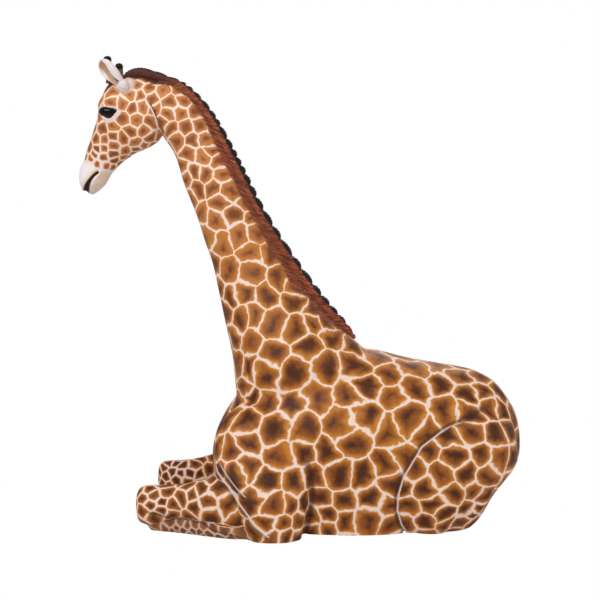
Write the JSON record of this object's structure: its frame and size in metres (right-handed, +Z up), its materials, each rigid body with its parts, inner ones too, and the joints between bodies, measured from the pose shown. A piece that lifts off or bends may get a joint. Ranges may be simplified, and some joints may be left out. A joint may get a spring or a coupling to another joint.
{
  "type": "resting giraffe statue",
  "caption": "Large painted statue of a giraffe lying down with folded legs, an upright neck, a scalloped mane and a flat closed base.",
  "frame": {"origin": "middle of the ground that the statue covers, on the flat underside", "axes": "+Z up, -X the way the giraffe faces, -Y its left flank"},
  "size_m": [1.1438, 0.498, 1.1893],
  "materials": {
    "coat": "satin hand-painted glass fibre",
    "mane": "satin hand-painted glass fibre",
    "ear": "satin hand-painted glass fibre",
    "horn": "satin hand-painted glass fibre",
    "eye": "gloss varnish over black",
    "tuft": "satin hand-painted glass fibre",
    "laminate": "bare glass fibre laminate",
    "steel": "plain mild steel"
  },
  "bodies": {
    "root": {"torso_shell": "coat", "neck_shell": "coat", "head_shell": "coat", "eye_left": "eye", "eye_right": "eye", "ear_left": "ear", "ear_right": "ear", "horn_left": "horn", "horn_right": "horn", "mane_crest": "mane", "haunch_left": "coat", "haunch_right": "coat", "hock_left": "coat", "hock_right": "coat", "upper_arm_left": "coat", "upper_arm_right": "coat", "forearm_left": "coat", "forearm_right": "coat", "cannon_left": "coat", "cannon_right": "coat", "tail": "coat", "tail_tuft": "tuft", "base_panel": "laminate", "neck_collar": "laminate", "foot_plate": "steel", "neck_post": "steel", "foot_bolt_1": "steel", "foot_bolt_2": "steel", "foot_bolt_3": "steel", "foot_bolt_4": "steel"}
  },
  "joints": []
}
